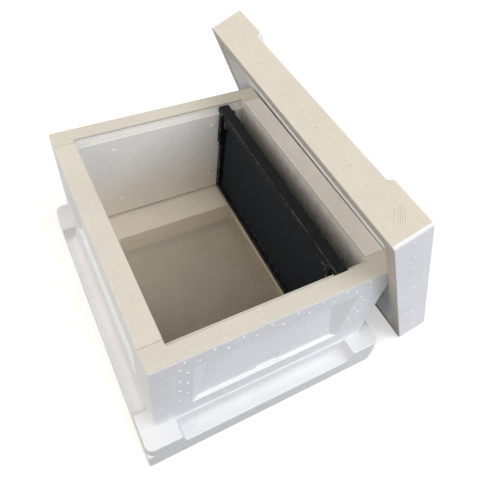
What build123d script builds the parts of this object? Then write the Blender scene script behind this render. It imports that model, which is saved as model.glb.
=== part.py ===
from build123d import *
from math import cos, radians, sin, tan
import os

os.makedirs("parts", exist_ok=True)

# Everything is in millimetres. The shapes are drawn about the middle of the hive on the ground,
# X to the right along the front wall, Y to the back, Z up. They are moved at the end so that the
# middle of the whole set, the leaning roof included, is the origin.

# floor: a moulded foam tray with a block at each corner and a low ledge between the blocks
floor_width = 520.0
floor_length = 622.0
floor_height = 92.0
base_round = 4.0
block_round = 16.0
block_edge = 3.5
block_reach = 40.0
ledge_height = 58.0
ledge_draft = 11.0
block_cove = 9.0
riser_cove = 20.0
ledge_edge = 2.5
base_edge = 1.5
floor_shift = (0.0, -2.5)

# opening in the floor, its mesh, the lowered rim round it and the bees' way in under the back wall
well_half = 153.0
well_front = -195.5
well_back = 163.5
well_round = 10.0
mesh_level = 24.0
mesh_thick = 1.2
mesh_groove = 6.0
mesh_play = 0.3
mesh_margin = 9.0
mesh_bar = 5.0
mesh_across = 10
mesh_along = 12
entrance_half = 165.0
entrance_height = 10.0

# brood box: two end panels as wide as the box, two side panels between them, one finger per corner
box_width = 462.0
box_length = 551.0
box_height = 243.0
side_thick = 41.0
end_thick = 43.0
corner_round = 4.0
rim_round = 2.2
seam = 0.25
rest_gap = 0.3
finger_low = 82.0
finger_high = 196.0
rebate_width = 10.5
rebate_depth = 16.0

# wedge-shaped hand hold in each wall, deep under the grip and shallow at the sill
grip_top = 45.0
grip_bottom = 200.0
grip_deep = 20.0
grip_shallow = 7.0
grip_splay = 2.0
end_grip_half = 158.0
side_grip_half = 191.5
notch_half = 23.0
notch_deep = 9.6
notch_high = 29.0

# ejector marks on the inner face of each end panel
mark_radius = 8.5
mark_depth = 0.9
mark_x = 114.0
mark_drops = (49.0, 197.5)

# comb frame hanging in the box
frame_x = 139.0
frame_skew = -0.7
frame_height = 231.0
lug_span = 482.0
lug_width = 25.0
lug_thick = 11.0
bar_depth = 22.0
bar_foot = 18.0
body_span = 448.0
side_bar_thick = 9.0
shoulder_width = 35.0
shoulder_drop = 82.0
shoulder_slope = 12.0
bottom_bar_width = 25.0
bottom_bar_depth = 10.0
bottom_tenon = 14.0
sheet_thick = 3.0
groove_depth = 4.0
gusset_leg = 24.0
gusset_rib = 3.5
gusset_thick = 2.5
gusset_offset = 8.0

# roof leaning on the right rim with one long edge on the ground
roof_width = 520.0
roof_length = 626.0
roof_thick = 62.0
roof_bar_thick = 71.0
roof_bar_length = 95.0
roof_bar_slope = 8.0
roof_round = 8.0
roof_edge = 3.5
roof_lip_side = 27.5
roof_lip_end = 25.0
roof_lip_edge = 1.5
roof_recess = 26.0
roof_lean = 25.45
roof_turn = 0.45
roof_shift_y = 9.5

rim_z = floor_height + box_height
half_width = box_width / 2
half_length = box_length / 2
inner_half_width = half_width - side_thick
inner_half_length = half_length - end_thick


def block(x0, x1, y0, y1, z0, z1):
    solid = Box(x1 - x0, y1 - y0, z1 - z0)
    return Pos((x0 + x1) / 2, (y0 + y1) / 2, (z0 + z1) / 2) * solid


def slab(width, length, radius, z0, z1):
    return Pos(0, 0, z0) * extrude(RectangleRounded(width, length, radius), z1 - z0)


def across(points, half):
    # prism along X from a profile of (y, z) points
    face = make_face(Plane.YZ * Polyline(*points, close=True))
    return extrude(face, half, both=True)


def along(points, y0, y1):
    # prism along Y from a profile of (x, z) points
    face = make_face(Polyline(*[(x, y0, z) for x, z in points], close=True))
    return extrude(face, y1 - y0, dir=(0, 1, 0))


def ledge_cut(half):
    # what is missing between two corner blocks, drawn for a front wall face at Y = 0
    top = floor_height + 8
    reach = 70.0
    wide = half + 40
    lean = (floor_height - ledge_height) * tan(radians(ledge_draft))
    notch = [
        (-wide, floor_height),
        (-half, floor_height),
        (-half + lean, ledge_height),
        (half - lean, ledge_height),
        (half, floor_height),
        (wide, floor_height),
        (wide, top),
        (-wide, top),
    ]
    face = make_face(Plane.XZ * Polyline(*notch, close=True))
    feet = face.vertices().filter_by(lambda v: v.Z < ledge_height + 1)
    face = fillet(feet, block_cove)
    brows = face.vertices().filter_by(
        lambda v: abs(v.Z - floor_height) < 0.01 and abs(abs(v.X) - half) < 0.01
    )
    gap = extrude(fillet(brows, block_edge), reach, both=True)
    rise = [
        (30, floor_height),
        (0, floor_height),
        (-lean, ledge_height),
        (-reach, ledge_height),
        (-reach, top),
        (30, top),
    ]
    face = make_face(Plane.YZ * Polyline(*rise, close=True))
    feet = face.vertices().filter_by(lambda v: v.Z < ledge_height + 1 and v.Y > -reach / 2)
    face = fillet(feet, riser_cove)
    brows = face.vertices().filter_by(lambda v: abs(v.Z - floor_height) < 0.01 and abs(v.Y) < 0.01)
    return gap & extrude(fillet(brows, block_edge), wide, both=True)


def ledge_rounding(half, overhang):
    # softens the ledge's outer edge, drawn for a front wall face at Y = 0
    lean = (floor_height - ledge_height) * tan(radians(ledge_draft))
    run = half - lean - block_cove
    low = ledge_height - ledge_edge
    edge = block(-run, run, -overhang - 1, -overhang + ledge_edge, low, ledge_height + 1)
    return edge - Pos(0, -overhang + ledge_edge, low) * Cylinder(ledge_edge, 2 * run, rotation=(0, 90, 0))


def make_tray():
    base = slab(floor_width, floor_length, base_round, 0, ledge_height)
    base = chamfer(base.faces().sort_by(Axis.Z)[0].edges(), base_edge)
    crown = slab(floor_width, floor_length, block_round, ledge_height, floor_height)
    tray = base + fillet(crown.faces().sort_by(Axis.Z)[-1].edges(), block_edge)
    end_half = half_width - block_reach
    side_half = half_length - block_reach
    end_over = (floor_length - box_length) / 2
    side_over = (floor_width - box_width) / 2
    end_cut = ledge_cut(end_half) + ledge_rounding(end_half, end_over)
    side_cut = ledge_cut(side_half) + ledge_rounding(side_half, side_over)
    for turn in (0, 180):
        tray -= Rot(0, 0, turn) * Pos(0, -half_length, 0) * end_cut
        tray -= Rot(0, 0, turn + 90) * Pos(0, -half_width, 0) * side_cut
    tray = Pos(*floor_shift, 0) * tray
    middle_y = (well_front + well_back) / 2
    length = well_back - well_front
    well = slab(2 * well_half, length, well_round, -1, floor_height + 1)
    groove = slab(
        2 * (well_half + mesh_groove),
        length + 2 * mesh_groove,
        well_round,
        mesh_level,
        mesh_level + mesh_thick + mesh_play,
    )
    tray -= Pos(0, middle_y, 0) * (well + groove)
    low = floor_height - entrance_height
    high = floor_height + 1
    inner_rim = (-inner_half_width, inner_half_width, -inner_half_length, inner_half_length)
    way_in = (-entrance_half, entrance_half, well_back, floor_length / 2 + 1)
    for area in (inner_rim, way_in):
        tray -= block(*area, low, high)
    return tray


def make_mesh():
    middle_y = (well_front + well_back) / 2
    reach = mesh_groove - mesh_play
    width = 2 * (well_half + reach)
    length = well_back - well_front + 2 * reach
    sheet = slab(width, length, well_round, mesh_level, mesh_level + mesh_thick)
    # a plain grid of openings stands for the fine weave
    step_x = (width - 2 * mesh_margin + mesh_bar) / mesh_across
    step_y = (length - 2 * mesh_margin + mesh_bar) / mesh_along
    gap = Rectangle(step_x - mesh_bar, step_y - mesh_bar)
    gaps = [place * gap for place in GridLocations(step_x, step_y, mesh_across, mesh_along)]
    sheet -= Pos(0, 0, mesh_level - 1) * extrude(Sketch() + gaps, mesh_thick + 2)
    return Pos(0, middle_y, 0) * sheet


def grip_cut(half):
    # hand hold in a wall whose outer face is Y = 0 and whose inside is towards +Y
    low = rim_z - grip_bottom
    high = rim_z - grip_top
    profile = [(-1, low), (grip_shallow, low), (grip_deep, high), (-1, high)]
    wedge = across(profile, half + 10)
    plan = [
        (-half - grip_splay, -1),
        (half + grip_splay, -1),
        (half - grip_splay * 24, 24),
        (-half + grip_splay * 24, 24),
    ]
    splay = extrude(make_face(Polyline(*plan, close=True)), rim_z)
    cut = wedge & splay
    inner = cut.edges().filter_by(lambda e: e.center().Y > grip_shallow - 0.1)
    return fillet(inner, 2.5)


def make_hull():
    hull = slab(box_width, box_length, corner_round, floor_height + rest_gap, rim_z)
    ends = hull.faces().sort_by(Axis.Z)
    return fillet(ends[0].edges() + ends[-1].edges(), rim_round)


def make_end_panel(hull):
    # the front panel; the back one is the same panel turned round
    low = floor_height
    panel = hull & block(-half_width, half_width, -half_length, -inner_half_length, low, rim_z)
    for side in (-1, 1):
        edge = side * (inner_half_width - seam)
        far = side * (half_width + 1)
        panel -= block(
            min(edge, far),
            max(edge, far),
            -half_length - 1,
            -inner_half_length + 1,
            low + finger_low - seam,
            low + finger_high + seam,
        )
    rebate = block(
        -inner_half_width,
        inner_half_width,
        -inner_half_length - rebate_width,
        -inner_half_length + 5,
        rim_z - rebate_depth,
        rim_z + 5,
    )
    back_corners = rebate.edges().filter_by(Axis.Z).sort_by(Axis.Y)[0:2]
    panel -= fillet(back_corners, 4.0)
    panel -= Pos(0, -half_length, 0) * grip_cut(end_grip_half)
    sill = rim_z - grip_bottom
    notch = (-notch_half, notch_half, -half_length - 1, -half_length + notch_deep)
    panel -= block(*notch, sill, sill + notch_high)
    for x in (-mark_x, mark_x):
        for drop in mark_drops:
            mark = Cylinder(mark_radius, 2 * mark_depth, rotation=(90, 0, 0))
            panel -= Pos(x, -inner_half_length, rim_z - drop) * mark
    soft = panel.edges().filter_by(Axis.X).filter_by(
        lambda e: (
            abs(e.center().Y + inner_half_length + rebate_width) < 0.01
            and abs(e.center().Z - rim_z) < 0.01
        )
        or (
            abs(e.center().Y + inner_half_length) < 0.01
            and abs(e.center().Z - rim_z + rebate_depth) < 0.01
        )
    )
    return fillet(soft, 1.5)


def make_side_panel(hull):
    # the left panel; the right one is the same panel turned round
    end = inner_half_length - seam
    panel = block(-half_width, -inner_half_width, -end, end, floor_height, rim_z)
    panel += block(
        -half_width,
        -inner_half_width,
        -half_length,
        half_length,
        floor_height + finger_low,
        floor_height + finger_high,
    )
    panel = hull & panel
    panel -= Pos(-half_width, 0, 0) * Rot(0, 0, -90) * grip_cut(side_grip_half)
    soft = panel.edges().filter_by(Axis.Y).filter_by(
        lambda e: abs(e.center().X + inner_half_width) < 0.01 and abs(e.center().Z - rim_z) < 0.01
    )
    return fillet(soft, 1.5)


lug_low = rim_z - rebate_depth + rest_gap
bar_top = lug_low + lug_thick
bar_low = bar_top - bar_depth
frame_low = bar_top - frame_height
body_half = body_span / 2
body_inner = body_half - side_bar_thick


def make_top_bar():
    half = lug_width / 2
    foot = bar_foot / 2
    bar = along(
        [
            (-half, bar_top),
            (half, bar_top),
            (half, lug_low - 3),
            (foot, bar_low),
            (-foot, bar_low),
            (-half, lug_low - 3),
        ],
        -body_inner + 0.2,
        body_inner - 0.2,
    )
    lugs = block(-half, half, -lug_span / 2, lug_span / 2, lug_low, bar_top)
    lugs = fillet(lugs.edges().filter_by(Axis.Z), 3.0)
    bar += lugs
    slit = sheet_thick / 2 + 0.2
    bar -= block(-slit, slit, -body_half, body_half, bar_low - 1, bar_low + groove_depth + 0.2)
    upper = bar.faces().sort_by(Axis.Z)[-1].edges()
    return fillet(upper, 1.2)


def make_side_bar():
    # the end bar at +Y
    wide = shoulder_width / 2
    narrow = lug_width / 2
    waist = bar_top - shoulder_drop
    head = bar_top - 2.5
    bar = along(
        [
            (-wide, head),
            (wide, head),
            (wide, waist),
            (narrow, waist - shoulder_slope),
            (narrow, frame_low),
            (-narrow, frame_low),
            (-narrow, waist - shoulder_slope),
            (-wide, waist),
        ],
        body_inner,
        body_half,
    )
    bar = fillet(bar.edges().filter_by(Axis.Y), 1.5)
    slot = narrow + 0.2
    bar -= block(-slot, slot, body_inner - 1, body_half + 1, lug_low - 0.2, bar_top + 1)
    slot = bottom_tenon / 2 + 0.2
    high = frame_low + bottom_bar_depth + 0.2
    bar -= block(-slot, slot, body_inner - 1, body_half + 1, frame_low - 1, high)
    corner_y = body_inner + 1
    corner_z = bar_low - 0.2
    outer = [
        (corner_y, corner_z),
        (corner_y - gusset_leg, corner_z),
        (corner_y, corner_z - gusset_leg),
    ]
    inner = [
        (body_inner - gusset_rib, corner_z - gusset_rib),
        (corner_y - gusset_leg + 2.6 * gusset_rib, corner_z - gusset_rib),
        (body_inner - gusset_rib, corner_z - gusset_leg + 3.2 * gusset_rib),
    ]
    web = across(outer, gusset_thick / 2) - across(inner, gusset_thick)
    for x in (-gusset_offset, gusset_offset):
        bar += Pos(x, 0, 0) * web
    return bar


def make_bottom_bar():
    half = bottom_bar_width / 2
    tenon = bottom_tenon / 2
    top = frame_low + bottom_bar_depth
    bar = block(-half, half, -body_inner + 0.2, body_inner - 0.2, frame_low, top)
    bar = fillet(bar.edges().filter_by(Axis.Y), 1.5)
    bar += block(-tenon, tenon, -body_half, body_half, frame_low, top)
    slit = sheet_thick / 2 + 0.2
    return bar - block(-slit, slit, -body_half - 1, body_half + 1, top - groove_depth - 0.2, top + 1)


def make_sheet():
    half = sheet_thick / 2
    low = frame_low + bottom_bar_depth - groove_depth
    return block(-half, half, -body_inner + 0.2, body_inner - 0.2, low, bar_low + groove_depth)


def hang(solid):
    return Pos(frame_x, 0, 0) * Rot(0, 0, frame_skew) * solid


def make_roof():
    # drawn lying flat: X from the grounded edge to the high edge, Z from the lip to the top
    half = roof_length / 2
    step = half - roof_bar_length
    profile = [
        (-half, 0),
        (half, 0),
        (half, roof_bar_thick),
        (step, roof_bar_thick),
        (step - roof_bar_slope, roof_thick),
        (-step + roof_bar_slope, roof_thick),
        (-step, roof_bar_thick),
        (-half, roof_bar_thick),
    ]
    shape = make_face(Plane.YZ * Polyline(*profile, close=True))
    steps = shape.vertices().filter_by(lambda v: abs(v.Y) < half - 1)
    shape = fillet(steps, 3.0)
    body = extrude(shape, roof_width / 2, both=True)
    body = body & slab(roof_width, roof_length, roof_round, 0, roof_bar_thick)
    side = roof_width / 2
    upper = body.edges().filter_by(
        lambda e: e.center().Z > roof_thick - 0.1
        and (abs(e.center().X) > side - roof_round or abs(e.center().Y) > half - roof_round)
    )
    body = fillet(upper, roof_edge)
    lower = body.faces().sort_by(Axis.Z)[0].edges()
    body = chamfer(lower, roof_lip_edge)
    hollow = slab(
        roof_width - 2 * roof_lip_side, roof_length - 2 * roof_lip_end, 6.0, -5, roof_recess
    )
    hollow = chamfer(hollow.faces().sort_by(Axis.Z)[-1].edges(), 2 * roof_lip_edge)
    body -= hollow
    mouth = body.faces().sort_by(Axis.Z)[0].inner_wires()[0].edges()
    body = chamfer(mouth, roof_lip_edge)
    lean_cos = cos(radians(roof_lean))
    lean_sin = sin(radians(roof_lean))
    turn_cos = cos(radians(roof_turn))
    turn_sin = sin(radians(roof_turn))
    touch_x = half_width + (rim_z * lean_sin - roof_recess + rest_gap) / lean_cos
    foot_x = touch_x + (half_length + roof_shift_y) * turn_sin / turn_cos
    stand = Plane(
        (foot_x, roof_shift_y, 0),
        x_dir=(-lean_sin * turn_cos, lean_sin * turn_sin, lean_cos),
        z_dir=(lean_cos * turn_cos, -lean_cos * turn_sin, lean_sin),
    )
    return stand * Pos(side, 0, 0) * body


hull = make_hull()
front_wall = make_end_panel(hull)
left_wall = make_side_panel(hull)
side_bar = make_side_bar()

nodes = {
    "floor_tray": make_tray(),
    "floor_mesh": make_mesh(),
    "front_wall": front_wall,
    "back_wall": Rot(0, 0, 180) * front_wall,
    "left_wall": left_wall,
    "right_wall": Rot(0, 0, 180) * left_wall,
    "frame_top_bar": hang(make_top_bar()),
    "frame_far_bar": hang(side_bar),
    "frame_near_bar": hang(Rot(0, 0, 180) * side_bar),
    "frame_bottom_bar": hang(make_bottom_bar()),
    "foundation_sheet": hang(make_sheet()),
    "roof_shell": make_roof(),
}

boxes = [solid.bounding_box() for solid in nodes.values()]
middle_x = (min(b.min.X for b in boxes) + max(b.max.X for b in boxes)) / 2
middle_y = (min(b.min.Y for b in boxes) + max(b.max.Y for b in boxes)) / 2
print("moved by", -middle_x, -middle_y)

for name, solid in nodes.items():
    placed = Pos(-middle_x, -middle_y, 0) * solid
    export_step(placed, os.path.join("parts", name + ".step"))
    print(name, placed.is_valid, round(placed.volume / 1000, 1), "cm3")
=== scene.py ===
import bmesh
import bpy
import math
from mathutils import Euler, Matrix, Vector


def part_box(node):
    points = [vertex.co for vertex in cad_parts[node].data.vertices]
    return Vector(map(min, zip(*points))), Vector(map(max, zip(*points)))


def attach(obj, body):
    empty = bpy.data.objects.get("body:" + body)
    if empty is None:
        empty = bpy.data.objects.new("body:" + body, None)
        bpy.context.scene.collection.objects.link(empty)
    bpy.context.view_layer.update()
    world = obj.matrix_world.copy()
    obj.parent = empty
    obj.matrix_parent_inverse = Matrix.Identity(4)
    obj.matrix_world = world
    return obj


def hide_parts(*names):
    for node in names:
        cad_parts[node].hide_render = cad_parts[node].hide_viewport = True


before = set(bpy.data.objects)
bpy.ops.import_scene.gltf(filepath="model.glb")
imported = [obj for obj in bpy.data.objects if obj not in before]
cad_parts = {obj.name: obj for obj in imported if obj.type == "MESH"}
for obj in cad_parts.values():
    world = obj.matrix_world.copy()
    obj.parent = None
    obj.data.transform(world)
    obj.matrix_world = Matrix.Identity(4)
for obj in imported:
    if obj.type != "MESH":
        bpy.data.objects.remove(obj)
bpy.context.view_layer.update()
scene = bpy.context.scene
scene.view_settings.view_transform = "Standard"
mm = 0.001

# the brood box gives every place: its middle on the ground, its outer faces, its room and its rim
frontLow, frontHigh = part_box("front_wall")
backLow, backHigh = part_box("back_wall")
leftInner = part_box("left_wall")[1].x
meshLow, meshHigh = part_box("floor_mesh")
meshMiddle = (meshLow + meshHigh) / 2
hive = Vector(((frontLow.x + frontHigh.x) / 2, (frontLow.y + backHigh.y) / 2, 0))
inside = Vector((hive.x - leftInner, backLow.y - hive.y, 0))  # half of the room between the walls
rimZ = frontHigh.z
print("frame loaded, rim at", round(rimZ / mm, 1), "mm")


def linear(hexColour):  # sRGB hex to the linear RGBA that shaders take
    parts = [int(hexColour[i:i + 2], 16) / 255 for i in (1, 3, 5)]
    return [p / 12.92 if p <= 0.04045 else ((p + 0.055) / 1.055) ** 2.4 for p in parts] + [1]


def add(tree, kind, settings=None, links=None):  # one node, its settings, and what feeds it
    node = tree.nodes.new(kind)
    sockets = {s.identifier: s for s in node.inputs}
    for key, value in (settings or {}).items():
        if key in sockets:
            sockets[key].default_value = value
        else:
            setattr(node, key, value)
    for key, (source, output) in (links or {}).items():
        tree.links.new(next(s for s in source.outputs if s.identifier == output), sockets[key])
    return node


def setRamp(ramp, *stops):  # two stops, each a position and a grey level
    for point, (place, tone) in zip(ramp.color_ramp.elements, stops):
        point.position = place
        point.color = (tone, tone, tone, 1)


def newMaterial(name):
    material = bpy.data.materials.new(name)
    material.use_nodes = True
    material.node_tree.nodes.clear()
    return material, material.node_tree


# edges by ambient occlusion inwards: a ray cast into the piece near an edge soon meets the next face
edgeLook = {"samples": 8, "flat": 0.9, "sharp": 0.5}


def edgeMask(tree, width, share):
    corners = add(
        tree, "ShaderNodeAmbientOcclusion",
        {"inside": True, "only_local": True, "samples": edgeLook["samples"], "Distance": width},
    )
    return add(
        tree, "ShaderNodeMapRange",
        {"From Min": edgeLook["flat"], "From Max": edgeLook["sharp"], "To Max": share},
        {"Value": (corners, "AO")},
    )


# Expanded polystyrene, steam-moulded: a dull white skin of fused beads, with a fine groove round each
# bead and soft dents. Light turns the faces that look up to cream. Inside the box, upright faces are
# painted whiter near the top as painted light, and the bees' staining towards the floor is deepened
# with a painted warm shade. The wall beside the comb is streaked by bees and painted darker as shade;
# the rim's inner edge is tan from bees, and on the right wall painted darker as shade; the roof's flange
# turns brown where it sits on the box and is painted darker as shade. A few brown specks of propolis
# lie anywhere, and convex corners are painted whiter as a highlight.
foam = {
    "ior": 1.45,
    "smooth": 0.62,
    "rough": 0.78,
    "bead": 4.6 * mm,
    "beadScatter": 0.9,
    "beadDark": 0.975,
    "beadLight": 1.02,
    "groove": 0.35 * mm,
    "grooveWidth": 0.10,  # as a share of a bead
    "grooveShare": 0.30,
    "grooveBump": 0.5,
    "dent": 17 * mm,
    "dentDepth": 1.2 * mm,
    "dentBump": 0.35,
    "patch": 120 * mm,
    "patchSpread": 0.2,  # how far the noise counts on both sides of its middle
    "patchDark": 0.955,
    "patchLight": 1.03,
    "noiseMiddle": 0.5,
    "ageTurn": 0.55,  # a face is fully aged this part of the way from its least turn to facing up
    "ageFade": 50 * mm,
    # painted light: upright faces inside the box are drawn whiter near the top
    "paintedLightInside": "#F6F7F7",
    "seam": 12 * mm,  # how far the staining and painted shade of the room reach into the walls
    "lowStainAndShade": "#E0D1B8",
    "stainStart": 45 * mm,
    "stainShare": 0.9,
    "grime": "#D6CEBF",
    # the wall beside the comb: staining and painted shade
    "combStainAndShade": "#BAB7B1",
    "combShare": 0.8,
    "combBrownAndShade": "#9A8A72",
    "brownStart": 15 * mm,
    "brownFull": 90 * mm,
    "blotchSpread": 0.15,
    "blotchLeast": 0.7,
    "rimEdge": 5 * mm,
    # the rim's inner edge: bees' staining, and on the right wall painted shade
    "rimStainAndShade": "#CFC4B0",
    "rimShare": 0.9,
    "joint": 0.7 * mm,  # wider than the real hairline, so that it shows
    "jointColour": "#9C9384",
    # the roof's flange: staining and painted shade
    "flangeShadeAndStain": "#BDB6AF",
    "contactDepth": 8 * mm,
    "contactStart": 0.15,
    "contactFull": 0.5,
    "speck": 22 * mm,
    "speckSize": 1.0 * mm,
    "speckShare": 0.8,
    "speckColour": "#A3978A",
    # convex corners: a painted highlight
    "edge": 4 * mm,
    "edgeAndHighlightColour": "#F8F8F6",
    "edgeDrop": 15 * mm,  # the walls' corners are painted whiter as a highlight only from this far below the rim down
}


def flangeStainAndShade(tree, coords, colour, outOfTop, lip):  # the roof's flange turns brown where it sits on the box and is painted darker as shade on the face that looks down at it
    turnedIn = add(
        tree, "ShaderNodeVectorMath", {"operation": "DOT_PRODUCT", "Vector_001": -outOfTop},
        {"Vector": (coords, "Normal")},
    )
    looksIn = add(
        tree, "ShaderNodeMapRange", {"From Min": foam["contactStart"], "From Max": foam["contactFull"]},
        {"Value": (turnedIn, "Value")},
    )
    depth = add(
        tree, "ShaderNodeVectorMath", {"operation": "DOT_PRODUCT", "Vector_001": outOfTop},
        {"Vector": (coords, "Object")},
    )
    atFlange = add(
        tree, "ShaderNodeMath", {"operation": "LESS_THAN", "Value_001": lip + foam["contactDepth"]},
        {"Value": (depth, "Value")},
    )
    flangeShadeAndStain = add(
        tree, "ShaderNodeMath", {"operation": "MULTIPLY"},
        {"Value": (looksIn, "Result"), "Value_001": (atFlange, "Value")},
    )
    return add(
        tree, "ShaderNodeMix", {"data_type": "RGBA", "B_Color": linear(foam["flangeShadeAndStain"])},
        {"Factor_Float": (flangeShadeAndStain, "Value"), "A_Color": (colour, "Result_Color")},
    )


# a face ages where it looks along the given way, turned at least as far as flat, and lies near reach;
# convex corners are painted whiter as a highlight below edgeTop, which by default is above everything
def mouldedFoam(
    name, skin, groove, aged=None, along=(0, 0, 1), reach=0, flat=0.45, edgeShare=0.0, edgeTop=1.0,
    jointShare=0.0, rimStainAndShade=foam["rimStainAndShade"], flange=None,
):
    material, tree = newMaterial(name)
    coords = add(tree, "ShaderNodeTexCoord")
    place = (coords, "Object")

    # patterns: beads with grooves between them, dents, and large patches
    beadGrid = {"Scale": 1 / foam["bead"], "Randomness": foam["beadScatter"]}
    gaps = add(tree, "ShaderNodeTexVoronoi", {"feature": "DISTANCE_TO_EDGE", **beadGrid}, {"Vector": place})
    lines = add(tree, "ShaderNodeValToRGB", None, {"Fac": (gaps, "Distance")})
    setRamp(lines, (0.0, 0.0), (foam["grooveWidth"], 1.0))
    beads = add(tree, "ShaderNodeTexVoronoi", {"feature": "F1", **beadGrid}, {"Vector": place})
    beadTone = add(tree, "ShaderNodeSeparateColor", None, {"Color": (beads, "Color")})
    patches = add(
        tree, "ShaderNodeTexNoise",
        {"Scale": 1 / foam["patch"], "Detail": 4.0, "Roughness": 0.6},
        {"Vector": place},
    )
    dents = add(
        tree, "ShaderNodeTexNoise",
        {"Scale": 1 / foam["dent"], "Detail": 3.0, "Roughness": 0.55},
        {"Vector": place},
    )

    # age
    facing = add(
        tree, "ShaderNodeVectorMath", {"operation": "DOT_PRODUCT", "Vector_001": along},
        {"Vector": (coords, "Normal")},
    )
    fullTurn = flat + (1 - flat) * foam["ageTurn"]
    looksUp = add(
        tree, "ShaderNodeMapRange",
        {"interpolation_type": "SMOOTHSTEP", "From Min": flat, "From Max": fullTurn},
        {"Value": (facing, "Value")},
    )
    height = add(
        tree, "ShaderNodeVectorMath", {"operation": "DOT_PRODUCT", "Vector_001": along}, {"Vector": place}
    )
    isHigh = add(
        tree, "ShaderNodeMapRange",
        {"interpolation_type": "SMOOTHSTEP", "From Min": reach - foam["ageFade"], "From Max": reach},
        {"Value": (height, "Value")},
    )
    exposed = add(
        tree, "ShaderNodeMath", {"operation": "MULTIPLY"},
        {"Value": (looksUp, "Result"), "Value_001": (isHigh, "Result")},
    )
    body = add(
        tree, "ShaderNodeMix",
        {"data_type": "RGBA", "A_Color": linear(skin), "B_Color": linear(aged or skin)},
        {"Factor_Float": (exposed, "Value")},
    )

    # the room between the walls, by distance from the middle of the hive
    fromMiddle = add(
        tree, "ShaderNodeVectorMath", {"operation": "SUBTRACT", "Vector_001": hive}, {"Vector": place}
    )
    aside = add(tree, "ShaderNodeVectorMath", {"operation": "ABSOLUTE"}, {"Vector": (fromMiddle, "Vector")})
    spread = add(tree, "ShaderNodeSeparateXYZ", None, {"Vector": (aside, "Vector")})
    withinX = add(
        tree, "ShaderNodeMath", {"operation": "LESS_THAN", "Value_001": inside.x + foam["seam"]},
        {"Value": (spread, "X")},
    )
    withinY = add(
        tree, "ShaderNodeMath", {"operation": "LESS_THAN", "Value_001": inside.y + foam["seam"]},
        {"Value": (spread, "Y")},
    )
    within = add(
        tree, "ShaderNodeMath", {"operation": "MULTIPLY"},
        {"Value": (withinX, "Value"), "Value_001": (withinY, "Value")},
    )
    belowRim = add(
        tree, "ShaderNodeMath", {"operation": "LESS_THAN", "Value_001": rimZ - foam["rimEdge"]},
        {"Value": (spread, "Z")},
    )
    combRoom = add(
        tree, "ShaderNodeMath", {"operation": "MULTIPLY"},
        {"Value": (within, "Value"), "Value_001": (belowRim, "Value")},
    )

    # upright faces in the room are painted whiter at the top, a painted light inside the box, and towards the
    # floor carry the bees' staining deepened by a painted warm shade
    upright = add(
        tree, "ShaderNodeMath", {"operation": "SUBTRACT", "Value": 1.0}, {"Value_001": (looksUp, "Result")}
    )
    paintedLightShare = add(
        tree, "ShaderNodeMath", {"operation": "MULTIPLY"},
        {"Value": (combRoom, "Value"), "Value_001": (upright, "Value")},
    )
    lightenedInside = add(
        tree, "ShaderNodeMix", {"data_type": "RGBA", "B_Color": linear(foam["paintedLightInside"])},
        {"Factor_Float": (paintedLightShare, "Value"), "A_Color": (body, "Result_Color")},
    )
    low = add(
        tree, "ShaderNodeMapRange",
        {"From Min": rimZ - foam["stainStart"], "From Max": meshMiddle.z, "To Max": foam["stainShare"]},
        {"Value": (spread, "Z")},
    )
    # the bees' staining towards the floor, deepened with a painted warm shade
    lowStainAndShade = add(
        tree, "ShaderNodeMath", {"operation": "MULTIPLY"},
        {"Value": (within, "Value"), "Value_001": (low, "Result")},
    )
    stainedAndShaded = add(
        tree, "ShaderNodeMix", {"data_type": "RGBA", "B_Color": linear(foam["lowStainAndShade"])},
        {"Factor_Float": (lowStainAndShade, "Value"), "A_Color": (lightenedInside, "Result_Color")},
    )

    # the wall beside the comb is blotched, grey at the top and brown below: partly the bees' staining, partly
    # painted shade in the narrow slot beside the frame
    sideways = add(tree, "ShaderNodeSeparateXYZ", None, {"Vector": (fromMiddle, "Vector")})
    besideComb = add(
        tree, "ShaderNodeMapRange",
        {"From Min": inside.x - foam["seam"], "From Max": inside.x, "To Max": foam["combShare"]},
        {"Value": (sideways, "X")},
    )
    blotches = add(
        tree, "ShaderNodeMapRange",
        {
            "From Min": foam["noiseMiddle"] - foam["blotchSpread"],
            "From Max": foam["noiseMiddle"] + foam["blotchSpread"],
            "To Min": foam["blotchLeast"],
        },
        {"Value": (dents, "Fac")},
    )
    blotched = add(
        tree, "ShaderNodeMath", {"operation": "MULTIPLY"},
        {"Value": (besideComb, "Result"), "Value_001": (blotches, "Result")},
    )
    combStainAndShade = add(
        tree, "ShaderNodeMath", {"operation": "MULTIPLY"},
        {"Value": (combRoom, "Value"), "Value_001": (blotched, "Value")},
    )
    brownShare = add(
        tree, "ShaderNodeMapRange",
        {"From Min": rimZ - foam["brownStart"], "From Max": rimZ - foam["brownFull"]},
        {"Value": (spread, "Z")},
    )
    combColour = add(
        tree, "ShaderNodeMix",
        {"data_type": "RGBA", "A_Color": linear(foam["combStainAndShade"]), "B_Color": linear(foam["combBrownAndShade"])},
        {"Factor_Float": (brownShare, "Result")},
    )
    brownedAndShaded = add(
        tree, "ShaderNodeMix", {"data_type": "RGBA"},
        {
            "Factor_Float": (combStainAndShade, "Value"),
            "A_Color": (stainedAndShaded, "Result_Color"),
            "B_Color": (combColour, "Result_Color"),
        },
    )

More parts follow.
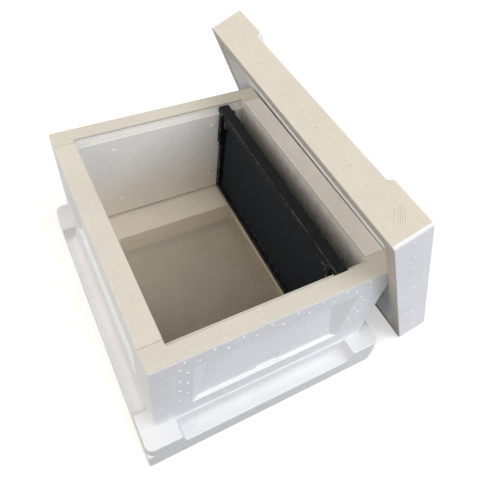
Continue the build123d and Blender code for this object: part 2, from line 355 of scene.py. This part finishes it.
    # grime lies under the mesh
    under = add(
        tree, "ShaderNodeMath", {"operation": "LESS_THAN", "Value_001": meshMiddle.z},
        {"Value": (spread, "Z")},
    )
    grimy = add(
        tree, "ShaderNodeMath", {"operation": "MULTIPLY"},
        {"Value": (within, "Value"), "Value_001": (under, "Value")},
    )
    grounded = add(
        tree, "ShaderNodeMix", {"data_type": "RGBA", "B_Color": linear(foam["grime"])},
        {"Factor_Float": (grimy, "Value"), "A_Color": (brownedAndShaded, "Result_Color")},
    )
    if flange:
        grounded = flangeStainAndShade(tree, coords, grounded, *flange)
    if jointShare:  # a wall: its rim is tan at the inner edge, on the right wall painted darker as shade, with a line where two walls meet
        aboveRim = add(
            tree, "ShaderNodeMath", {"operation": "SUBTRACT"},
            {"Value": (within, "Value"), "Value_001": (combRoom, "Value")},
        )
        rimSide = add(
            tree, "ShaderNodeMath", {"operation": "MULTIPLY"},
            {"Value": (aboveRim, "Value"), "Value_001": (upright, "Value")},
        )
        rimTone = add(
            tree, "ShaderNodeMath", {"operation": "MULTIPLY", "Value_001": foam["rimShare"]},
            {"Value": (rimSide, "Value")},
        )
        rimmed = add(
            tree, "ShaderNodeMix", {"data_type": "RGBA", "B_Color": linear(rimStainAndShade)},
            {"Factor_Float": (rimTone, "Value"), "A_Color": (grounded, "Result_Color")},
        )
        atJoint = add(
            tree, "ShaderNodeMath",
            {"operation": "COMPARE", "Value_001": inside.y, "Value_002": foam["joint"]},
            {"Value": (spread, "Y")},
        )
        onSide = add(
            tree, "ShaderNodeMath", {"operation": "GREATER_THAN", "Value_001": inside.x},
            {"Value": (spread, "X")},
        )
        jointLine = add(
            tree, "ShaderNodeMath", {"operation": "MULTIPLY"},
            {"Value": (atJoint, "Value"), "Value_001": (onSide, "Value")},
        )
        jointMask = add(
            tree, "ShaderNodeMath", {"operation": "MULTIPLY"},
            {"Value": (jointLine, "Value"), "Value_001": (exposed, "Value")},
        )
        jointTone = add(
            tree, "ShaderNodeMath", {"operation": "MULTIPLY", "Value_001": jointShare},
            {"Value": (jointMask, "Value")},
        )
        grounded = add(
            tree, "ShaderNodeMix", {"data_type": "RGBA", "B_Color": linear(foam["jointColour"])},
            {"Factor_Float": (jointTone, "Value"), "A_Color": (rimmed, "Result_Color")},
        )

    # patches and beads differ a little in tone, and the grooves and specks lie over both
    mottle = add(
        tree, "ShaderNodeMapRange",
        {
            "From Min": foam["noiseMiddle"] - foam["patchSpread"],
            "From Max": foam["noiseMiddle"] + foam["patchSpread"],
            "To Min": foam["patchDark"],
            "To Max": foam["patchLight"],
        },
        {"Value": (patches, "Fac")},
    )
    speckle = add(
        tree, "ShaderNodeMapRange", {"To Min": foam["beadDark"], "To Max": foam["beadLight"]},
        {"Value": (beadTone, "Red")},
    )
    tone = add(
        tree, "ShaderNodeMath", {"operation": "MULTIPLY"},
        {"Value": (mottle, "Result"), "Value_001": (speckle, "Result")},
    )
    toned = add(
        tree, "ShaderNodeVectorMath", {"operation": "SCALE"},
        {"Vector": (grounded, "Result_Color"), "Scale": (tone, "Value")},
    )
    lineShare = add(
        tree, "ShaderNodeMapRange", {"To Min": foam["grooveShare"], "To Max": 0.0},
        {"Value": (lines, "Color")},
    )
    grooved = add(
        tree, "ShaderNodeMix", {"data_type": "RGBA", "B_Color": linear(groove)},
        {"Factor_Float": (lineShare, "Result"), "A_Color": (toned, "Vector")},
    )
    specks = add(
        tree, "ShaderNodeTexVoronoi", {"feature": "F1", "Scale": 1 / foam["speck"]}, {"Vector": place}
    )
    speckReach = foam["speckSize"] / foam["speck"]
    isSpeck = add(
        tree, "ShaderNodeMapRange",
        {"From Min": speckReach / 2, "From Max": speckReach, "To Min": foam["speckShare"], "To Max": 0.0},
        {"Value": (specks, "Distance")},
    )
    colour = add(
        tree, "ShaderNodeMix", {"data_type": "RGBA", "B_Color": linear(foam["speckColour"])},
        {"Factor_Float": (isSpeck, "Result"), "A_Color": (grooved, "Result_Color")},
    )
    if edgeShare:  # convex corners painted whiter, a painted highlight
        underTop = add(
            tree, "ShaderNodeMath", {"operation": "LESS_THAN", "Value_001": edgeTop}, {"Value": (spread, "Z")}
        )
        isEdge = edgeMask(tree, foam["edge"], edgeShare)
        edgeTone = add(
            tree, "ShaderNodeMath", {"operation": "MULTIPLY"},
            {"Value": (isEdge, "Result"), "Value_001": (underTop, "Value")},
        )
        colour = add(
            tree, "ShaderNodeMix", {"data_type": "RGBA", "B_Color": linear(foam["edgeAndHighlightColour"])},
            {"Factor_Float": (edgeTone, "Value"), "A_Color": (colour, "Result_Color")},
        )

    gloss = add(
        tree, "ShaderNodeMapRange", {"To Min": foam["rough"], "To Max": foam["smooth"]},
        {"Value": (beadTone, "Green")},
    )
    beadBump = add(
        tree, "ShaderNodeBump", {"Strength": foam["grooveBump"], "Distance": foam["groove"]},
        {"Height": (lines, "Color")},
    )
    dentBump = add(
        tree, "ShaderNodeBump", {"Strength": foam["dentBump"], "Distance": foam["dentDepth"]},
        {"Height": (dents, "Fac"), "Normal": (beadBump, "Normal")},
    )
    shader = add(
        tree, "ShaderNodeBsdfPrincipled", {"IOR": foam["ior"]},
        {
            "Base Color": (colour, "Result_Color"),
            "Roughness": (gloss, "Result"),
            "Normal": (dentBump, "Normal"),
        },
    )
    add(tree, "ShaderNodeOutputMaterial", None, {"Surface": (shader, "BSDF")})
    return material


# Polypropylene, injection-moulded: black with a dull sheen, a fine spark-eroded grain, pale scuffs, and
# edges that handling has chipped to grey, drawn paler as a painted highlight
plastic = {
    "ior": 1.49,
    "grain": 0.9 * mm,
    "grainDepth": 0.1 * mm,
    "grainBump": 0.2,
    "scuff": 22 * mm,
    "scuffStart": 0.52,
    "scuffFull": 0.74,
    "scuffColour": "#26282B",
    "smoother": 0.05,
    "rougher": 0.1,
    # edges: wear and a painted highlight
    "edge": 2.0 * mm,
    "edgeAndHighlightColour": "#B4B8BD",
    "chip": 9 * mm,
    "chipStart": 0.52,
    "chipFull": 0.6,
    "chipLeast": 0.06,
}


def blackPlastic(name, body, sheen, roughness, scuffShare, edgeShare=0.0):
    material, tree = newMaterial(name)
    coords = add(tree, "ShaderNodeTexCoord")
    place = (coords, "Object")
    grain = add(tree, "ShaderNodeTexNoise", {"Scale": 1 / plastic["grain"], "Detail": 2.0}, {"Vector": place})
    scuffs = add(
        tree, "ShaderNodeTexNoise", {"Scale": 1 / plastic["scuff"], "Detail": 6.0, "Roughness": 0.7},
        {"Vector": place},
    )
    share = add(tree, "ShaderNodeValToRGB", None, {"Fac": (scuffs, "Fac")})
    setRamp(share, (plastic["scuffStart"], 0.0), (plastic["scuffFull"], scuffShare))
    colour = add(
        tree, "ShaderNodeMix",
        {"data_type": "RGBA", "A_Color": linear(body), "B_Color": linear(plastic["scuffColour"])},
        {"Factor_Float": (share, "Color")},
    )
    if edgeShare:  # chipped edges, pale partly from wear and partly as a painted highlight
        chips = add(
            tree, "ShaderNodeTexNoise", {"Scale": 1 / plastic["chip"], "Detail": 1.0}, {"Vector": place}
        )
        chipShare = add(
            tree, "ShaderNodeMapRange",
            {
                "From Min": plastic["chipStart"],
                "From Max": plastic["chipFull"],
                "To Min": plastic["chipLeast"],
            },
            {"Value": (chips, "Fac")},
        )
        isEdge = edgeMask(tree, plastic["edge"], edgeShare)
        wear = add(
            tree, "ShaderNodeMath", {"operation": "MULTIPLY"},
            {"Value": (isEdge, "Result"), "Value_001": (chipShare, "Result")},
        )
        colour = add(
            tree, "ShaderNodeMix", {"data_type": "RGBA", "B_Color": linear(plastic["edgeAndHighlightColour"])},
            {"Factor_Float": (wear, "Value"), "A_Color": (colour, "Result_Color")},
        )
    gloss = add(
        tree, "ShaderNodeMapRange",
        {"To Min": roughness - plastic["smoother"], "To Max": roughness + plastic["rougher"]},
        {"Value": (scuffs, "Fac")},
    )
    bump = add(
        tree, "ShaderNodeBump", {"Strength": plastic["grainBump"], "Distance": plastic["grainDepth"]},
        {"Height": (grain, "Fac")},
    )
    shader = add(
        tree, "ShaderNodeBsdfPrincipled", {"IOR": plastic["ior"], "Specular IOR Level": sheen},
        {"Base Color": (colour, "Result_Color"), "Roughness": (gloss, "Result"), "Normal": (bump, "Normal")},
    )
    add(tree, "ShaderNodeOutputMaterial", None, {"Surface": (shader, "BSDF")})
    return material


# Steel wire, galvanised and weathered: zinc bloom has turned it a pale, nearly matt grey in patches, so
# little of the metal's shine is left
wireLook = {
    "bloom": 35 * mm,
    "colour": "#F6EEE0",
    "bloomColour": "#DFD5C5",
    "metallic": 0.1,
    "smooth": 0.42,
    "rough": 0.65,
}


def galvanisedWire(name):
    material, tree = newMaterial(name)
    coords = add(tree, "ShaderNodeTexCoord")
    bloom = add(
        tree, "ShaderNodeTexNoise", {"Scale": 1 / wireLook["bloom"], "Detail": 5.0},
        {"Vector": (coords, "Object")},
    )
    colour = add(
        tree, "ShaderNodeMix",
        {
            "data_type": "RGBA",
            "A_Color": linear(wireLook["colour"]),
            "B_Color": linear(wireLook["bloomColour"]),
        },
        {"Factor_Float": (bloom, "Fac")},
    )
    gloss = add(
        tree, "ShaderNodeMapRange", {"To Min": wireLook["smooth"], "To Max": wireLook["rough"]},
        {"Value": (bloom, "Fac")},
    )
    shader = add(
        tree, "ShaderNodeBsdfPrincipled", {"Metallic": wireLook["metallic"]},
        {"Base Color": (colour, "Result_Color"), "Roughness": (gloss, "Result")},
    )
    add(tree, "ShaderNodeOutputMaterial", None, {"Surface": (shader, "BSDF")})
    return material


# axes of the leaning roof, up its slope, out of its top and along it, and how far it reaches on them
lean = {"tilt": math.radians(-25.45), "skew": math.radians(-0.45)}
roofTurn = Matrix.Rotation(lean["skew"], 3, "Z") @ Matrix.Rotation(lean["tilt"], 3, "Y")
leanUp = roofTurn @ Vector((0, 0, 1))
leanOut = roofTurn @ Vector((1, 0, 0))
leanAlong = roofTurn @ Vector((0, 1, 0))
roofPoints = [vert.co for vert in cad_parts["roof_shell"].data.vertices]
roofReach = max(leanUp.dot(point) for point in roofPoints)
roofLip = min(leanOut.dot(point) for point in roofPoints)
roofNear = min(leanAlong.dot(point) for point in roofPoints)
roofFar = max(leanAlong.dot(point) for point in roofPoints)

wallLook = {
    "skin": "#EAEDF1",
    "groove": "#CED0D2",
    "reach": rimZ,
    "edgeShare": 0.8,
    "edgeTop": rimZ - foam["edgeDrop"],
    "jointShare": 0.75,
}
floorFoam = mouldedFoam("floor polystyrene", "#E2E3E6", "#CDCFD1")
endFoam = mouldedFoam("end wall polystyrene", aged="#CBC6BA", **wallLook)
sideFoam = mouldedFoam("side wall polystyrene", aged="#D0CABE", **wallLook)
# the right wall, under the roof: its rim is painted a lighter cream as painted light against the roof's
# shade, and its rim's inner edge a darker grey as painted shade
litAndShadedRightFoam = mouldedFoam("right wall polystyrene with painted light and shade", aged="#E0DBD3", rimStainAndShade="#B5AFA5", **wallLook)
roofFoam = mouldedFoam(
    "roof polystyrene", "#EEF0F3", "#D2D2D2", aged="#CEC8BC", along=leanUp, reach=roofReach, flat=0.88,
    edgeShare=0.3, flange=(leanOut, roofLip),
)
ventFoam = mouldedFoam("vent mark polystyrene", "#FCFCFD", "#F0F0F0")
agedFoam = mouldedFoam("aged polystyrene", "#DDD8CE", "#CFC9BE")
scoredFoam = mouldedFoam("scored polystyrene", "#B4AB9D", "#A69E91")
framePlastic = blackPlastic(
    "frame polypropylene", "#101215", sheen=0.22, roughness=0.5, scuffShare=0.7, edgeShare=0.7
)
combPlastic = blackPlastic("comb polypropylene", "#23262B", sheen=0.12, roughness=0.6, scuffShare=0.15)
meshWire = galvanisedWire("galvanised wire")

finishes = {
    "floor_tray": floorFoam,
    "front_wall": endFoam,
    "back_wall": endFoam,
    "left_wall": sideFoam,
    "right_wall": litAndShadedRightFoam,
    "roof_shell": roofFoam,
    "frame_top_bar": framePlastic,
    "frame_far_bar": framePlastic,
    "frame_near_bar": framePlastic,
    "frame_bottom_bar": framePlastic,
}
for nodeName, material in finishes.items():
    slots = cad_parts[nodeName].data.materials
    slots.clear()
    slots.append(material)
print("finishes on", len(finishes), "nodes")


def newObject(name, shape, material):
    mesh = bpy.data.meshes.new(name)
    shape.to_mesh(mesh)
    shape.free()
    mesh.materials.append(material)
    made = bpy.data.objects.new(name, mesh)
    scene.collection.objects.link(made)
    return made


def newPiece(name, shape, material, body, smooth=False):
    piece = newObject(name, shape, material)
    if smooth:
        piece.data.shade_smooth()
    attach(piece, body)
    return piece


# woven mesh: two sets of crimped wires, each going over and under the other; the real mesh is finer, and
# is drawn as coarse as it needs to be to show
weave = {"pitch": 3.2 * mm, "wire": 0.95 * mm, "sides": 4}


def crimpedWires(shape, count, crossings, startsHigh, turn, middle):
    pitch = weave["pitch"]
    crimp = weave["wire"] / 2
    start = -(crossings - 1) / 2 * pitch
    lift = crimp if startsHigh else -crimp
    lay = Matrix.Translation((0, start, lift)) @ Matrix.Rotation(math.radians(90), 4, "X")
    ring = bmesh.ops.create_circle(shape, segments=weave["sides"], radius=weave["wire"] / 2, matrix=lay)
    verts = list(ring["verts"])
    edges = list({e for v in verts for e in v.link_edges})
    wire = list(verts)
    ends = list(edges)
    for _ in range(crossings - 1):
        made = bmesh.ops.extrude_edge_only(shape, edges=edges)["geom"]
        verts = [g for g in made if isinstance(g, bmesh.types.BMVert)]
        edges = [g for g in made if isinstance(g, bmesh.types.BMEdge)]
        lift = -lift
        bmesh.ops.translate(shape, verts=verts, vec=(0, pitch, 2 * lift))
        wire += verts
    bmesh.ops.holes_fill(shape, edges=ends + edges, sides=weave["sides"])
    first = -(count - 1) / 2 * pitch
    bmesh.ops.translate(shape, verts=wire, vec=(first, 0, 0))
    faces = list({f for v in wire for f in v.link_faces})
    lines = list({e for v in wire for e in v.link_edges})
    flip = Matrix.Rotation(math.pi, 3, "Y")
    every = list(wire)
    for index in range(1, count):
        made = bmesh.ops.duplicate(shape, geom=wire + lines + faces)["geom"]
        copy = [g for g in made if isinstance(g, bmesh.types.BMVert)]
        bmesh.ops.translate(shape, verts=copy, vec=(index * pitch, 0, 0))
        if index % 2:  # every second wire goes over where the others go under
            bmesh.ops.rotate(shape, verts=copy, cent=(first + index * pitch, 0, 0), matrix=flip)
        every += copy
    bmesh.ops.rotate(shape, verts=every, cent=(0, 0, 0), matrix=Matrix.Rotation(turn, 3, "Z"))
    bmesh.ops.translate(shape, verts=every, vec=middle)


wiresX = int((meshHigh.x - meshLow.x) / weave["pitch"])
wiresY = int((meshHigh.y - meshLow.y) / weave["pitch"])
shape = bmesh.new()
crimpedWires(shape, wiresX, wiresY, True, 0, meshMiddle)
crimpedWires(shape, wiresY, wiresX, False, math.radians(90), meshMiddle)
bmesh.ops.recalc_face_normals(shape, faces=shape.faces)
wovenMesh = newPiece("woven_mesh", shape, meshWire, "floor", smooth=True)
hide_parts("floor_mesh")
print("woven mesh of", wiresX, "by", wiresY, "wires,", len(wovenMesh.data.polygons), "faces")

# foundation: a sheet with a six-sided cell start on both faces, hung a little askew with its frame
comb = {
    "cell": 5.4 * mm,
    "ridge": 1.3 * mm,  # from the middle of the sheet
    "floor": 0.5 * mm,
    "wall": 0.9 * mm,
    "skew": math.radians(-0.7),
    "length": 429.6 * mm,
    "merge": 0.05 * mm,
    "cut": 0.001 * mm,
}


def cellSide(shape, length, height):
    pitch = comb["cell"]
    rowStep = pitch * math.sqrt(3) / 2
    columns = math.ceil(length / pitch / 2) + 1
    rows = math.ceil(height / rowStep / 2) + 1
    stand = Matrix.Rotation(math.radians(90), 4, "Y") @ Matrix.Rotation(math.radians(30), 4, "Z")
    for column in range(-columns, columns + 1):
        lay = Matrix.Translation((comb["ridge"], column * pitch, 0)) @ stand
        bmesh.ops.create_circle(shape, cap_ends=True, segments=6, radius=pitch / math.sqrt(3), matrix=lay)
    bmesh.ops.remove_doubles(shape, verts=shape.verts, dist=comb["merge"])
    row = shape.verts[:] + shape.edges[:] + shape.faces[:]
    for step in range(-rows, rows + 1):
        if step == 0:
            continue
        copy = bmesh.ops.duplicate(shape, geom=row)["geom"]
        verts = [g for g in copy if isinstance(g, bmesh.types.BMVert)]
        bmesh.ops.translate(shape, verts=verts, vec=(0, pitch / 2 * (step % 2), step * rowStep))
    bmesh.ops.remove_doubles(shape, verts=shape.verts, dist=comb["merge"])
    for face in shape.faces:
        if face.normal.x < 0:
            face.normal_flip()
    bmesh.ops.inset_individual(
        shape, faces=shape.faces, thickness=comb["wall"], depth=comb["floor"] - comb["ridge"]
    )
    reach = Vector((0, length / 2, height / 2))
    for normal in ((0, 1, 0), (0, -1, 0), (0, 0, 1), (0, 0, -1)):
        edge = Vector(normal) * reach.dot([abs(n) for n in normal])
        bmesh.ops.bisect_plane(
            shape, geom=shape.verts[:] + shape.edges[:] + shape.faces[:], dist=comb["cut"],
            plane_co=edge, plane_no=normal, clear_outer=True,
        )


sheetLow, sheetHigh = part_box("foundation_sheet")
shape = bmesh.new()
cellSide(shape, comb["length"], sheetHigh.z - sheetLow.z)
near = shape.verts[:] + shape.edges[:] + shape.faces[:]
far = bmesh.ops.duplicate(shape, geom=near)["geom"]
farVerts = [g for g in far if isinstance(g, bmesh.types.BMVert)]
bmesh.ops.rotate(shape, verts=farVerts, cent=(0, 0, 0), matrix=Matrix.Rotation(math.pi, 3, "Z"))
bmesh.ops.bridge_loops(shape, edges=[e for e in shape.edges if e.is_boundary])
bmesh.ops.recalc_face_normals(shape, faces=shape.faces)
bmesh.ops.rotate(shape, verts=shape.verts, cent=(0, 0, 0), matrix=Matrix.Rotation(comb["skew"], 3, "Z"))
bmesh.ops.translate(shape, verts=shape.verts, vec=(sheetLow + sheetHigh) / 2)
cellSheet = newPiece("cell_sheet", shape, combPlastic, "comb_frame")
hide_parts("foundation_sheet")
print("cell sheet with", len(cellSheet.data.polygons), "faces")

# vent marks: small domes that the tool's steam vents leave in staggered rows
vents = {
    "radius": 2.5 * mm,
    "height": 1.5 * mm,
    "step": 49.6 * mm,
    "rows": ((10.5 * mm, 8), (26.5 * mm, 7)),  # drop below the rim, and count
    "columnInsets": (49 * mm, 63.5 * mm),  # from both ends of the wall
    "columnDrops": ((33 * mm, 77 * mm, 120 * mm, 163 * mm), (55 * mm, 98 * mm, 141 * mm)),
    # mm across and down from the upper left corner of the back wall's inner face
    "innerPlaces": ((100, 63), (147, 61), (260, 42), (280, 64), (262, 92), (27, 80), (33, 132)),
    "roofCount": 10,
    "roofSide": 31.5 * mm,
    "roofStart": 110 * mm,
    "roofEnd": 35 * mm,
    "roofDrop": 22 * mm,
}


def ventMarks(name, places, outward, material, body):
    shape = bmesh.new()
    aim = Vector(outward).to_track_quat("Z", "Y").to_matrix().to_4x4()
    flat = Matrix.Diagonal((vents["radius"], vents["radius"], vents["height"], 1))
    for place in places:
        lay = Matrix.Translation(place) @ aim @ flat
        bmesh.ops.create_icosphere(shape, subdivisions=1, radius=1, matrix=lay)
    return newPiece(name, shape, material, body, smooth=True)


def panelMarks(face, width):  # places on an end wall, from the middle of its outer face's top edge
    for drop, count in vents["rows"]:
        for index in range(count):
            yield face + Vector(((index - (count - 1) / 2) * vents["step"], 0, -drop))
    for inset, drops in zip(vents["columnInsets"], vents["columnDrops"]):
        for drop in drops:
            for side in (-1, 1):
                yield face + Vector((side * (width / 2 - inset), 0, -drop))


wallWidth = frontHigh.x - frontLow.x
for name, faceY, outward in (("front_vents", frontLow.y, -1), ("back_vents", backHigh.y, 1)):
    places = panelMarks(Vector((hive.x, faceY, rimZ)), wallWidth)
    ventMarks(name, places, (0, outward, 0), ventFoam, "brood_box")
innerLeft = Vector((hive.x - inside.x, backLow.y, rimZ))
places = [innerLeft + Vector((across * mm, 0, -drop * mm)) for across, drop in vents["innerPlaces"]]
ventMarks("inner_vents", places, (0, -1, 0), ventFoam, "brood_box")


def roofPlace(slope, out, along):  # a place by its distances along the roof's three axes
    return leanUp * slope + leanOut * out + leanAlong * along


roofSteps = [index * vents["step"] for index in range(vents["roofCount"])]
places = [
    roofPlace(roofReach, roofLip + vents["roofSide"], roofNear + vents["roofStart"] + step)
    for step in roofSteps
]
ventMarks("roof_side_vents", places, leanUp, agedFoam, "roof")
for name, along, outward in (
    ("roof_near_vents", roofNear, -leanAlong), ("roof_far_vents", roofFar, leanAlong)
):
    places = [
        roofPlace(roofReach - vents["roofDrop"] - step, roofLip + vents["roofEnd"], along)
        for step in roofSteps
    ]
    ventMarks(name, places, outward, roofFoam, "roof")
print("vent marks placed")

# ejector marks: low domes left by the tool's pins, in the shallow rounds of the end walls' inner faces
ejectors = {
    "radius": 7.6 * mm,
    "height": 1.8 * mm,
    "sunk": 0.9 * mm,
    "aside": 114 * mm,
    "drops": (49 * mm, 197.5 * mm),
}
shape = bmesh.new()
size = Matrix.Diagonal((ejectors["radius"], ejectors["height"], ejectors["radius"], 1))
for faceY, outward in ((frontHigh.y, 1), (backLow.y, -1)):
    for side in (-1, 1):
        for drop in ejectors["drops"]:
            across = hive.x + side * ejectors["aside"]
            middle = Vector((across, faceY - outward * ejectors["sunk"], rimZ - drop))
            bmesh.ops.create_icosphere(
                shape, subdivisions=3, radius=1, matrix=Matrix.Translation(middle) @ size
            )
newPiece("ejector_marks", shape, ventFoam, "brood_box", smooth=True)
print("ejector marks placed")

# scratches: a fan of shallow scores near one corner of the roof's long side
scratches = {
    "width": 0.7 * mm,
    "depth": 0.1 * mm,
    # mm along the roof and out from its lip, length in mm, slant in degrees
    "marks": ((44, 32, 27, 51), (45, 40, 27, 52), (42, 42, 34, 52), (38, 43, 30, 52), (38, 48, 27, 52)),
}
shape = bmesh.new()
roofAxes = Matrix((leanOut, leanAlong, leanUp)).transposed().to_4x4()
for along, out, length, slant in scratches["marks"]:
    middle = roofPlace(roofReach, roofLip + out * mm, roofNear + along * mm)
    size = Matrix.Diagonal((length * mm, scratches["width"], scratches["depth"], 1))
    lay = Matrix.Translation(middle) @ roofAxes @ Matrix.Rotation(math.radians(slant), 4, "Z") @ size
    bmesh.ops.create_cube(shape, size=1, matrix=lay)
newPiece("roof_scratches", shape, scoredFoam, "roof")
print("scratches placed")

# stage: white paper that keeps a soft shadow, two broad lights, a near fill at the right front that
# brightens the front wall towards its right end, and a sky that is cooler in front
stage = {
    "paperSize": 14.0,
    "paperSeen": "#FAFAFA",
    "paperUnseen": "#505050",  # what the paper throws back on the object
    "shadowShare": 0.6,
    "glow": 1.2,
    "suns": (  # the way to each one, its strength, its angle in degrees and its colour
        ("front light", Vector((0.3, -0.55, 0.78)), 1.4, 45, "#FAFBFF"),
        ("side light", Vector((-0.9, -0.1, 0.42)), 0.92, 60, "#FFF8EC"),
    ),
    "fillPlace": Vector((1.2, -0.8, 0.5)),
    "fillAim": Vector((0, 0, 0.2)),
    "fillSize": 0.8,
    "fillPower": 6.0,
    "fillColour": "#ECF2FF",
    "skyLevel": 0.37,
    "skySlope": Vector((-0.35, 0.1, 0.54)),
    "skyWarm": "#FFFAF2",
    "skyCool": "#C6D8F6",
    "coolWay": Vector((0.2, -0.8, -0.55)),
    "coolStart": 0.2,
    "coolFull": 0.8,
}


def onlySeen(tree):  # 1 for the rays that show the stage itself, in view or in a gloss or glass
    path = add(tree, "ShaderNodeLightPath")
    shown = add(
        tree, "ShaderNodeMath", {"operation": "MAXIMUM"},
        {"Value": (path, "Is Camera Ray"), "Value_001": (path, "Is Glossy Ray")},
    )
    return add(
        tree, "ShaderNodeMath", {"operation": "MAXIMUM"},
        {"Value": (shown, "Value"), "Value_001": (path, "Is Transmission Ray")},
    )


paper, tree = newMaterial("studio paper")
seen = onlySeen(tree)
tone = add(
    tree, "ShaderNodeMix",
    {"data_type": "RGBA", "A_Color": linear(stage["paperUnseen"]), "B_Color": linear(stage["paperSeen"])},
    {"Factor_Float": (seen, "Value")},
)
matte = add(tree, "ShaderNodeBsdfDiffuse", None, {"Color": (tone, "Result_Color")})
white = add(tree, "ShaderNodeEmission", {"Strength": stage["glow"]})
share = add(
    tree, "ShaderNodeMath", {"operation": "MULTIPLY", "Value_001": 1 - stage["shadowShare"]},
    {"Value": (seen, "Value")},
)
mixed = add(
    tree, "ShaderNodeMixShader", None,
    {"Fac": (share, "Value"), "Shader": (matte, "BSDF"), "Shader_001": (white, "Emission")},
)
add(tree, "ShaderNodeOutputMaterial", None, {"Surface": (mixed, "Shader")})
shape = bmesh.new()
bmesh.ops.create_grid(shape, x_segments=1, y_segments=1, size=stage["paperSize"] / 2)
newObject("studio_floor", shape, paper)

# ground under the hive, seen only through its mesh, darker towards the front as a painted shade of the front
# wall
ground = {"share": 0.95, "lift": 0.2 * mm, "front": "#5E594C", "back": "#C6BEAE"}
soil, tree = newMaterial("covered ground")
coords = add(tree, "ShaderNodeTexCoord")
split = add(tree, "ShaderNodeSeparateXYZ", None, {"Vector": (coords, "Object")})
backShare = add(
    tree, "ShaderNodeMapRange", {"From Min": meshLow.y, "From Max": meshHigh.y}, {"Value": (split, "Y")}
)
# painted shade at the front, fading to a paler back
tone = add(
    tree, "ShaderNodeMix",
    {"data_type": "RGBA", "A_Color": linear(ground["front"]), "B_Color": linear(ground["back"])},
    {"Factor_Float": (backShare, "Result")},
)
matte = add(tree, "ShaderNodeBsdfDiffuse", None, {"Color": (tone, "Result_Color")})
add(tree, "ShaderNodeOutputMaterial", None, {"Surface": (matte, "BSDF")})
trayLow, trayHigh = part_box("floor_tray")
traySize = trayHigh - trayLow
trayMiddle = (trayLow + trayHigh) / 2
shape = bmesh.new()
bmesh.ops.create_grid(shape, x_segments=1, y_segments=1, size=ground["share"] / 2)
bmesh.ops.scale(shape, verts=shape.verts, vec=(traySize.x, traySize.y, 1))
bmesh.ops.translate(shape, verts=shape.verts, vec=(trayMiddle.x, trayMiddle.y, ground["lift"]))
newObject("covered_ground", shape, soil)

sky = bpy.data.worlds.new("studio sky")
scene.world = sky
sky.use_nodes = True
tree = sky.node_tree
tree.nodes.clear()
aim = add(tree, "ShaderNodeTexCoord")
toward = add(
    tree, "ShaderNodeVectorMath", {"operation": "DOT_PRODUCT", "Vector_001": stage["skySlope"]},
    {"Vector": (aim, "Generated")},
)
level = add(
    tree, "ShaderNodeMath", {"operation": "ADD", "Value_001": stage["skyLevel"]}, {"Value": (toward, "Value")}
)
forward = add(
    tree, "ShaderNodeVectorMath", {"operation": "DOT_PRODUCT", "Vector_001": stage["coolWay"]},
    {"Vector": (aim, "Generated")},
)
coolShare = add(
    tree, "ShaderNodeMapRange", {"From Min": stage["coolStart"], "From Max": stage["coolFull"]},
    {"Value": (forward, "Value")},
)
tint = add(
    tree, "ShaderNodeMix",
    {"data_type": "RGBA", "A_Color": linear(stage["skyWarm"]), "B_Color": linear(stage["skyCool"])},
    {"Factor_Float": (coolShare, "Result")},
)
dome = add(
    tree, "ShaderNodeBackground", None, {"Color": (tint, "Result_Color"), "Strength": (level, "Value")}
)
backdrop = add(tree, "ShaderNodeBackground", {"Color": (1, 1, 1, 1), "Strength": 1.0})
mixed = add(
    tree, "ShaderNodeMixShader", None,
    {
        "Fac": (onlySeen(tree), "Value"),
        "Shader": (dome, "Background"),
        "Shader_001": (backdrop, "Background"),
    },
)
add(tree, "ShaderNodeOutputWorld", None, {"Surface": (mixed, "Shader")})


def newLamp(name, kind, power, colour, outOf):  # outOf is the way from what is lit to the lamp
    lamp = bpy.data.objects.new(name, bpy.data.lights.new(name, kind))
    lamp.data.energy = power
    lamp.data.color = linear(colour)[:3]
    lamp.rotation_euler = outOf.to_track_quat("Z", "Y").to_euler()
    scene.collection.objects.link(lamp)
    return lamp


for name, outOf, power, angle, colour in stage["suns"]:
    sun = newLamp(name, "SUN", power, colour, outOf)
    sun.data.angle = math.radians(angle)
fillWay = stage["fillPlace"] - stage["fillAim"]
fill = newLamp("fill light", "AREA", stage["fillPower"], stage["fillColour"], fillWay)
fill.data.size = stage["fillSize"]
fill.location = hive + stage["fillPlace"]

# camera at the photograph's view, placed from the middle of the brood box
view = {
    "place": Vector((-0.28952, -0.54101, 1.00404)),
    "turn": (37.44494, -5.35886, -27.22117),
    "lens": 36.2355,
    "sensor": 36.0,
}
cameraData = bpy.data.cameras.new("camera")
cameraData.sensor_width = view["sensor"]
cameraData.lens = view["lens"]
camera = bpy.data.objects.new("camera", cameraData)
camera.location = hive + view["place"]
camera.rotation_euler = Euler([math.radians(a) for a in view["turn"]])
scene.collection.objects.link(camera)
scene.camera = camera
print("stage and camera set")
